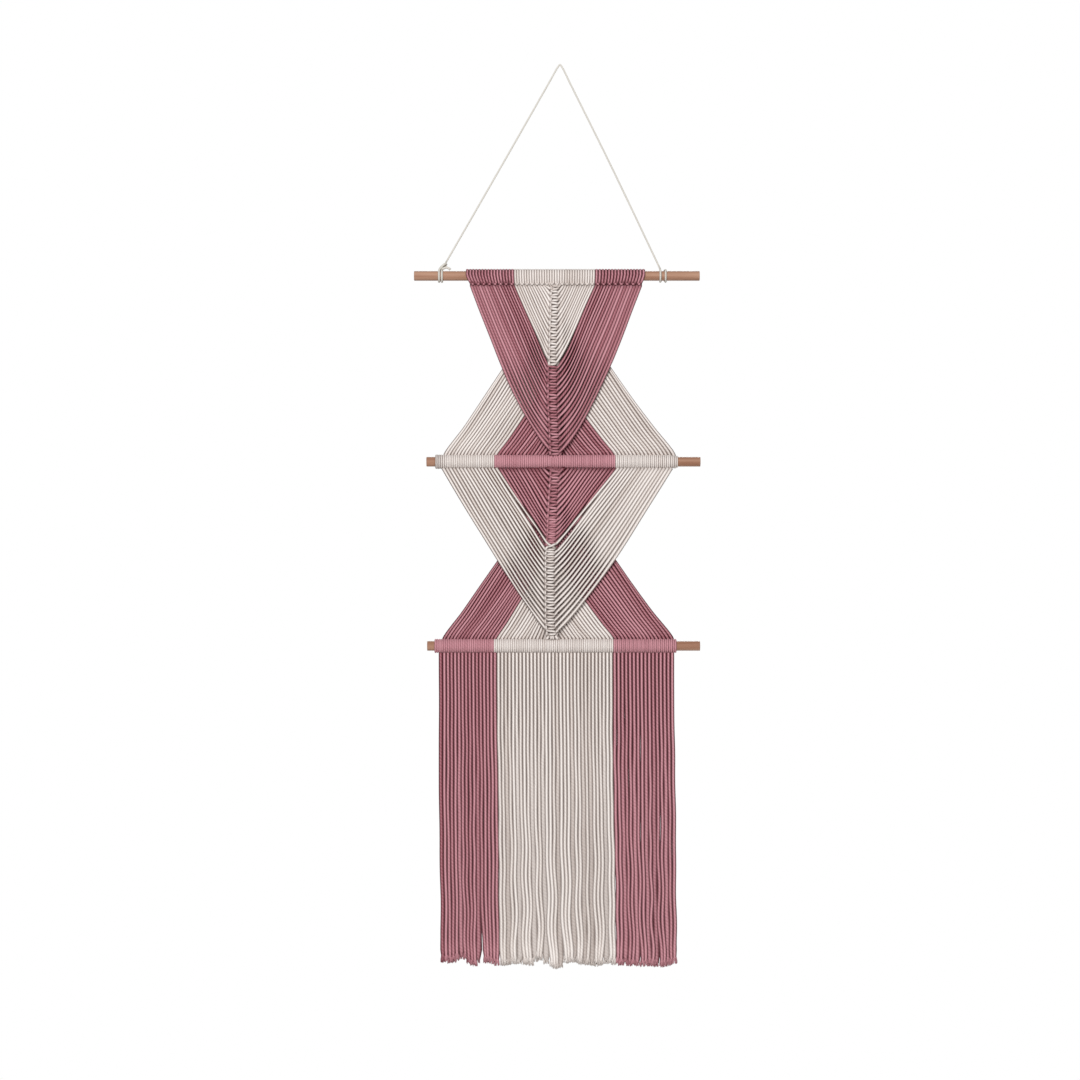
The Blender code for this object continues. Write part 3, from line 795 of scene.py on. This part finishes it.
class WoodDowels(bpy.types.Operator):
    """Turns the three dowels, with softened edges and bare grain"""

    bl_idname = "macrame.wood_dowels"
    bl_label = "Wooden dowels"

    def execute(self, context):
        for name in ("dowel_top", "dowel_middle", "dowel_bottom"):
            low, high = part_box(name)
            bpy.ops.object.select_all(action="DESELECT")
            bpy.ops.mesh.primitive_cylinder_add(
                vertices=64, radius=(high.z - low.z) / 2, depth=high.x - low.x,
                end_fill_type="NGON", location=(low + high) / 2, rotation=(0, pi / 2, 0),
            )
            rod = context.object
            rod.name = rod.data.name = name + "_turned"
            bpy.ops.object.transform_apply(location=True, rotation=True, scale=True)
            bpy.ops.object.mode_set(mode="EDIT")
            bpy.ops.mesh.select_mode(type="EDGE")
            bpy.ops.mesh.select_all(action="DESELECT")
            bpy.ops.object.mode_set(mode="OBJECT")
            for edge in rod.data.edges:
                ends = [rod.data.vertices[i].co.x for i in edge.vertices]
                edge.select = abs(ends[0] - ends[1]) < 1e-5
            bpy.ops.object.mode_set(mode="EDIT")
            bpy.ops.mesh.bevel(offset=0.5 * MM, segments=3)
            bpy.ops.object.mode_set(mode="OBJECT")
            bpy.ops.object.shade_smooth_by_angle(angle=radians(40))
            # The lower two rods are a little darker.
            tones = np.full(len(rod.data.vertices), 0.0 if name == "dowel_top" else -0.1)
            rod.data.attributes.new("tone", "FLOAT", "POINT").data.foreach_set("value", tones)
            rod.data.materials.clear()
            rod.data.materials.append(finish_named("bare_turned_wood"))
            settle(rod, "wood", name)
        return {"FINISHED"}


def larks_head(side, pair, colour, chance):
    """From one strand up over the dowel, down behind, across in front as the bar, and back."""
    # Where its two strands lie on the dowel, and where they hang below it
    xs, lows = (
        sorted(across_band(edges, side, pair + i) for i in (0, 1))
        for edges in (HEADING, UPPER.starts)
    )
    around = DOWEL_RADIUS + 1.15
    legs = []
    for x, low, inwards in zip(xs, lows, (1, -1)):
        leg = [
            (low, -4.9, TOP - 11.2), (low + 0.1 * inwards, -5.0, TOP - 8.8),
            (x + (low - x) * 0.5, -5.9, TOP - 4.6),
        ]
        for degrees in range(5, 246, 30):
            back = max(degrees - 155, 0) / 120
            leg.append(ring(around, degrees, x + (low - x) * back))
        leg += [(low + 0.3 * inwards, -3.4, TOP - 8.4), (low + 0.6 * inwards, -6.9, TOP - 9.2)]
        legs.append(leg)
    middle, drop = sum(lows) / 2, chance.uniform(-0.25, 0.25)
    pitch = xs[1] - xs[0]
    darkest, hollow = (0.85, 0.9) if colour == "rose" else (0.4, 0.45)

    def shade(path):
        """Painted shade at the ends of the bar, and where the strands go in behind it."""
        across, depth, height = path.T
        ends = np.clip((np.abs(across - middle) - 0.25 * pitch) / (0.3 * pitch), 0, 1)
        above = np.clip(1.0 - np.abs(height - TOP + 7.4) / 1.8, 0, 1)
        return darkest * np.where(depth < -6.5, ends, above)

    width = 2.6
    rest = [width] * (len(legs[0]) - 1)
    return Lay(
        legs[0] + [(middle, -8.2, TOP - 9.2 + drop)] + legs[1][::-1],
        rest + [2.2, 2.0, 2.2] + rest, tone=chance.uniform(-0.2, 0.08), hollow=hollow,
        coiled=True, squeeze=(pitch * 1.04 / width, 1.0, 1.0), shade=shade,
    )


class Heading(bpy.types.Operator):
    """Ties the thirty-two lark's heads on the top dowel"""

    bl_idname = "macrame.heading"
    bl_label = "Heading"

    def execute(self, context):
        chance = random.Random(11)
        for colour in COLOURS:
            lays = [
                larks_head(side, pair, colour, chance)
                for side in (-1, 1)
                for pair in range(1, PAIRS + 1, 2)
                if colour_of(UPPER, pair) == colour
            ]
            lay_cotton(f"heading_{colour}", lays, colour)
        return {"FINISHED"}


class KnottedPanels(bpy.types.Operator):
    """Lays the strands of both panels: bands, square knots and fans"""

    bl_idname = "macrame.knotted_panels"
    bl_label = "Knotted panels"

    def execute(self, context):
        sizes = context.scene.macrame_sizes
        chance = random.Random(5)
        for panel in (UPPER, LOWER):
            for colour in COLOURS:
                lays = panel_lays(panel, colour, sizes, chance)
                node = f"{panel.name}_panel_{colour}"
                lay_cotton(f"{panel.name}_strands_{colour}", lays, colour, node)
        return {"FINISHED"}


def hitch(panel, colour, side, number, chance):
    """Down behind the dowel, twice round it from below, and out at the bottom.

    The last three of the upper row are loose rings at the left, and tight ones at the right.
    """
    leaves, depth = (LOWER.starts, -2.6) if panel is UPPER else (FRINGE, 0.2)
    arrive, loops, leave = (
        across_band(edges, side, number) for edges in (panel.arrivals, panel.loops, leaves)
    )
    last = max(number - 29, 0) / 3 if panel is UPPER else 0
    loose, tight = (last, 0.0) if side < 0 else (0.0, last**2)
    lift = 0.1 if colour == "rose" else 0.0
    half = 0.97  # of the way from its first loop to its second
    near, far = loops - half, loops + half
    turns = (
        # degrees from the back, going down and forward, across, and out from the dowel's axis
        (-30, arrive, 8.3), (0, arrive + (near - arrive) * 0.45, 8.4), (35, near, 7.6),
        (80, near, 6.4), *((degrees, near, 6.25) for degrees in range(125, 261, 45)),
        (305, near + 0.2, 6.1), (350, loops, 6.1), (395, far - 0.2, 6.1),
        *((degrees, far, 6.25) for degrees in range(440, 621, 45)), (665, far, 6.1),
        (710, far + (leave - far) * 0.2, 6.1), (755, far + (leave - far) * 0.6, 6.3),
    )
    route = []
    for degrees, across, reach in turns:
        turn = radians(degrees)
        reach -= (0.75 * tight - 0.3 * loose) * (80 < degrees < 665)
        across += chance.uniform(-0.05, 0.05)
        route.append((across, reach * cos(turn), panel.row - reach * sin(turn)))
    route += [(leave, depth * 0.6, panel.row - 6.8), (leave, depth, panel.row - 8.2)]
    return Lay(
        route, 2.45 - 0.8 * tight, tone=chance.uniform(-0.08, 0.12) + lift,
        hollow=0.45 - lift + 0.5 * loose, coiled=True, squeeze=(0.9 + 0.25 * tight, 1.0, 1.0),
    )


class HitchRows(bpy.types.Operator):
    """Ties each strand round the middle and bottom dowels with a double half hitch"""

    bl_idname = "macrame.hitch_rows"
    bl_label = "Rows of double half hitches"

    def execute(self, context):
        chance = random.Random(23)
        for panel in (UPPER, LOWER):
            for colour in COLOURS:
                lays = [
                    hitch(panel, colour, side, number, chance)
                    for side in (-1, 1)
                    for number in range(1, PAIRS + 1)
                    if colour_of(panel, PAIRS + 1 - number) == colour
                ]
                lay_cotton(f"hitches_{panel.name}_{colour}", lays, colour)
        return {"FINISHED"}


# Where the fringe was cut: across, and height of the cut
CUT = np.array([
    (-125.0, -942.6), (-118.0, -944.9), (-104.0, -938.6), (-93.0, -949.4), (-88.0, -945.9),
    (-83.0, -942.7), (-67.0, -946.8), (-60.0, -945.9), (-33.0, -945.9), (-27.0, -938.6),
    (-12.0, -949.4), (-5.0, -950.1), (3.0, -943.4), (30.0, -946.9), (55.0, -944.9), (81.0, -947.7),
    (110.0, -946.9), (123.0, -944.2),
])
DRIFT = ((-127.0, -66.0), (1.7, 3.6))  # across, and how far the cut ends hang to the right
SLIT = -86.0  # across, where the fringe parts
STEPS = 32  # lengths of a strand's route
BRUSHED_FIBRES = 26


def slack_end(x, middle, sway, back, colour, width, chance):
    """One strand from the hitches to its cut and brushed end, drawn to its run's middle.

    sway is the length over which its run sways, where that starts, and how far it goes.
    A strand at the back lies wide and flat, with a darker tone and painted shade lower down.
    """
    reach, start, far = sway
    top, cut = BOTTOM - 6.9, np.interp(x, *CUT.T) + 3.2 + chance.uniform(-1.2, 1.2)
    depth = chance.uniform(-0.5, 0.5)
    gather = (middle - x) * chance.uniform(0.1, 0.35) * (0.4 if x < -66.0 else 1.0)
    own = chance.uniform(0, 6.28)
    flare = {STEPS - 1: 1.2, STEPS: 0.8}
    route, widths = [(x, -1.2, top)], [1.06 * width]
    for i in range(1, STEPS + 1):
        share = i / STEPS
        height = top + (cut - top) * share
        free, late = min(1.0, 3 * share), max(0.0, (share - 0.5) / 0.5)
        across = (0.15 + far * late) * free * sin(height / reach + start)
        across += 0.15 * free * sin(height / 15 + own) + gather * late**6
        across += 0.4 * sin(height / 41 + x / 15) * free
        across += share**1.5 * np.interp(x, *DRIFT)
        across += 3.2 * late**5 * exp(-abs(x - SLIT) / 5.0) * (1 if x > SLIT else -1)
        apart = min(1.0, max(0.0, (share - 0.12) / 0.55))
        apart *= apart * (3 - 2 * apart)
        behind = depth * apart + (2.0 if back else -0.6) * apart
        route.append((x + across, -1.2 + behind, height))
        wide = 1.06 + (0.65 if back else 0.0) * apart
        widths.append(width * wide * flare.get(i, 1.0))
    # Random tone, darker at the back than in front, as painted shade.
    tone = chance.uniform(-0.15, 0.15) - (0.05 if back else -0.05)
    if x < -121.0:
        # The outermost strand at the left is in shade, and the next one in light.
        tone = -0.3 if x < -125.0 else 0.2
    # Painted shade on the sides, darker at the top.
    hollow = np.linspace(*((0.95, 0.8) if colour == "rose" else (0.8, 0.5)), STEPS + 1)
    # Painted shade on strands at the back, from 45 mm below the top and growing downwards.
    most = 0.0 if not back else 0.34 if colour == "cream" else 0.1
    lays = [Lay(
        route, widths, tone=tone, hollow=hollow, squeeze=(1.0, 0.65 if back else 1.0, 1.0),
        shade=lambda path: most * np.clip((top - 45.0 - path[:, 2]) / 160.0, 0, 1),
    )]
    end, before = np.array(route[-1]), np.array(route[-3])
    ahead = (end - before) / np.linalg.norm(end - before)
    for _ in range(BRUSHED_FIBRES):
        angle, out = chance.uniform(0, 6.28), chance.uniform(0.25, 1.0) ** 0.5
        away = np.array((cos(angle), 0.8 * sin(angle), 0.0)) * out
        length = chance.uniform(1.5, 4.2)
        fibre = [
            end + away * 1.4 - ahead * 6.0, end + away * 2.3 - ahead * 2.0,
            end + away * 3.0 + ahead * length,
        ]
        paler = chance.uniform(-0.15, 0.15)
        lays.append(Lay(fibre, (0.8, 1.2, 0.7), tone=tone + paler, hollow=0.3, corners=4))
    return lays


class Fringe(bpy.types.Operator):
    """Hangs the sixty-four slack ends, with their brushed tips"""

    bl_idname = "macrame.fringe"
    bl_label = "Fringe"

    def execute(self, context):
        width = context.scene.macrame_sizes.fringe / MM
        chance = random.Random(42)
        # Strands are numbered from the middle. lively is how far they sway at the bottom.
        for name, colour, numbers, runs, lively in (
            ("left", "rose", range(-32, -16), (3, 4, 5), 0.5),
            ("centre", "cream", (*range(-16, 0), *range(1, 17)), (1, 2, 2, 3), 1.1),
            ("right", "rose", range(17, 33), (1, 1, 2), 1.0),
        ):
            places = [across_band(FRINGE, 1 if n > 0 else -1, abs(n)) for n in numbers]
            lays = []
            # Lower down, one strand falls behind between each run of strands and the next.
            back = False
            while places:
                size = 1 if back else min(len(places), chance.choice(runs))
                if not back and len(places) == size + 1:
                    size += 1
                run, places = places[:size], places[size:]
                middle = sum(run) / size + chance.uniform(-0.8, 0.8)
                calm = back or not places or not lays
                wave = chance.uniform(8.0, 13.0), chance.uniform(0, 6.28)
                sway = *wave, lively * (0.25 if calm else 1.0)
                for x in run:
                    lays += slack_end(x, middle, sway, back, colour, width, chance)
                back = not back and len(places) > 1
            lay_cotton(f"fringe_strands_{name}", lays, colour, f"fringe_{name}")
        return {"FINISHED"}


# The hanging cord's route, as in the solids, in millimetres
CORD_ROUTE = (
    (-119.8, -1.0, -208.8), (-60.0, -0.5, -104.8), (-12.0, 0.0, -20.6), (-2.0, 0.0, -3.0),
    (0.0, 0.0, -0.85), (2.0, 0.0, -3.0), (10.8, 0.0, -20.8), (52.8, -1.0, -105.6),
    (105.3, -3.9, -216.15),
)


def left_tie(width):
    """Twice round the dowel, once round the cord itself, and a short tail to the right."""
    around = DOWEL_RADIUS + 0.3 + width / 2
    route = [(-119.6, -1.0, -208.5), (-121.2, -0.6, -211.4), (-123.4, 0.0, -214.6)]
    for degrees in range(110, 800, 30):
        over = min(max((degrees - 430) / 180, 0), 1)
        route.append(ring(around, degrees, -124.0 - 3.0 * over))
    route += [
        (-126.4, -2.6, -216.2), (-124.6, -3.4, -213.8), (-121.6, -3.0, -211.0),
        (-119.6, -0.6, -210.6), (-121.0, 1.8, -212.4), (-123.6, 1.4, -213.8),
        (-124.4, -1.4, -215.0), (-122.4, -3.4, -215.2), (-119.8, -2.8, -214.2),
        (-117.2, -2.4, -214.8), (-115.0, -2.4, -216.4),
    ]
    widths = [width, width * 1.2] + [width * 1.4] * (len(route) - 2)
    return [Lay(route, widths, hollow=0.3, coiled=True)]


def right_tie(width):
    """Down the front and twice round the dowel, to a knot behind it."""
    around = DOWEL_RADIUS + 0.3 + width / 2
    route = [(104.4, -3.5, -214.2), (104.9, -3.8, -215.8)]
    for degrees in range(50, -600, -30):
        over = min(max((-degrees - 110) / 160, 0), 1)
        route.append(ring(around, degrees, 105.4 + 5.5 * over))
    back = [
        (110.8, 6.2, -219.0), (109.0, 7.8, -221.5), (106.4, 7.6, -222.6), (105.8, 7.4, -225.0),
        (108.4, 8.4, -225.4), (111.0, 8.0, -228.0),
    ]
    widths = [width, width * 1.1] + [width * 1.3] * (len(route) - 2)
    return [Lay(route, widths, hollow=0.3, coiled=True), Lay(back, width * 1.1)]


class HangingCord(bpy.types.Operator):
    """Runs the hanging cord over its hook and ties it to the top dowel"""

    bl_idname = "macrame.hanging_cord"
    bl_label = "Hanging cord"

    def execute(self, context):
        sizes = context.scene.macrame_sizes
        width = sizes.cord / MM
        finish = finish_named("cotton_hanging_cord")
        left = lay_cords("tie_left_cord", left_tie(width), finish)
        right = lay_cords("tie_right_cord", right_tie(width), finish)
        settle(left, "hanging_cord", "tie_left")
        settle(right, "hanging_cord", "tie_right")
        cord = lay_cords("hanging_cord_twisted", [Lay(CORD_ROUTE, width)], finish)
        settle(cord, "hanging_cord", "hanging_cord")
        return {"FINISHED"}


def area_light(name, place, size, watts):
    """A square light aimed at the middle of the hanging."""
    aim = Vector((0.0, 0.0, -0.5)) - Vector(place)
    turn = aim.to_track_quat("-Z", "Y").to_euler()
    bpy.ops.object.light_add(type="AREA", location=place, rotation=turn)
    light = bpy.context.object
    light.name = light.data.name = name
    light.data.shape = "SQUARE"
    light.data.size, light.data.energy = size, watts


class Studio(bpy.types.Operator):
    """Sets the pale floor, the soft lights and the camera"""

    bl_idname = "macrame.studio"
    bl_label = "Studio"

    def execute(self, context):
        scene = context.scene
        bpy.ops.object.select_all(action="DESELECT")
        bpy.ops.mesh.primitive_circle_add(
            vertices=96, radius=1.25, fill_type="NGON", location=(0, 0, -1.3)
        )
        floor = context.object
        floor.name = "studio_floor"
        paint, tree, shader = new_material("white_studio_floor")
        values = {"Base Color": (*linear("#F4F3F1"), 1.0), "Roughness": 0.9}
        set_sockets(tree, shader, values)
        floor.data.materials.append(paint)

        area_light("key_softbox", (-0.35, -2.6, 0.7), 1.0, 72.0)
        area_light("back_softbox", (0.4, 2.4, 0.4), 1.2, 55.0)

        # The soft light all round is dim, but the camera sees it as white.
        scene.world = bpy.data.worlds.new("studio_white")
        scene.world.use_nodes = True
        tree = scene.world.node_tree
        tree.nodes.clear()
        lit, seen = (
            add_node(tree, "ShaderNodeBackground", values={"Color": (1, 1, 1, 1), "Strength": much})
            for much in (0.22, 1.0)
        )
        ray = add_node(tree, "ShaderNodeLightPath").outputs["Is Camera Ray"]
        both = add_node(tree, "ShaderNodeMixShader", links={0: ray, 1: lit, 2: seen})
        add_node(tree, "ShaderNodeOutputWorld", links={"Surface": both})
        scene.view_settings.view_transform = "Standard"
        scene.view_settings.look = "None"

        away, seen_width = 3.2, 1.135
        bpy.ops.object.camera_add(location=(-0.021, -away, -0.5003), rotation=(pi / 2, 0, 0))
        camera = scene.camera = context.object
        camera.name = camera.data.name = "front_camera"
        camera.data.lens = camera.data.sensor_width * away / seen_width
        return {"FINISHED"}


OPERATORS = (Studio, HangingCord, WoodDowels, Heading, KnottedPanels, HitchRows, Fringe)


class MacramePanel(bpy.types.Panel):
    """Lists the steps that make the wall hanging"""

    bl_idname = "MACRAME_PT_steps"
    bl_label = "Macrame wall hanging"
    bl_space_type = "VIEW_3D"
    bl_region_type = "UI"
    bl_category = "Macrame"

    def draw(self, context):
        for step in OPERATORS:
            self.layout.operator(step.bl_idname)
        for group in (context.scene.macrame_sizes, context.scene.macrame_dyes):
            for name in type(group).__annotations__:
                self.layout.prop(group, name)


CLASSES = (StrandSizes, Dyes, *OPERATORS, MacramePanel)


def register():
    """Makes the classes and the settings known."""
    for made in CLASSES:
        bpy.utils.register_class(made)
    bpy.types.Scene.macrame_sizes = bpy.props.PointerProperty(type=StrandSizes)
    bpy.types.Scene.macrame_dyes = bpy.props.PointerProperty(type=Dyes)


def unregister():
    """Takes them away again."""
    del bpy.types.Scene.macrame_dyes
    del bpy.types.Scene.macrame_sizes
    for made in reversed(CLASSES):
        bpy.utils.unregister_class(made)


def main():
    register()
    for step in OPERATORS:
        group, name = step.bl_idname.split(".")
        getattr(getattr(bpy.ops, group), name)()


if __name__ == "__main__":
    main()
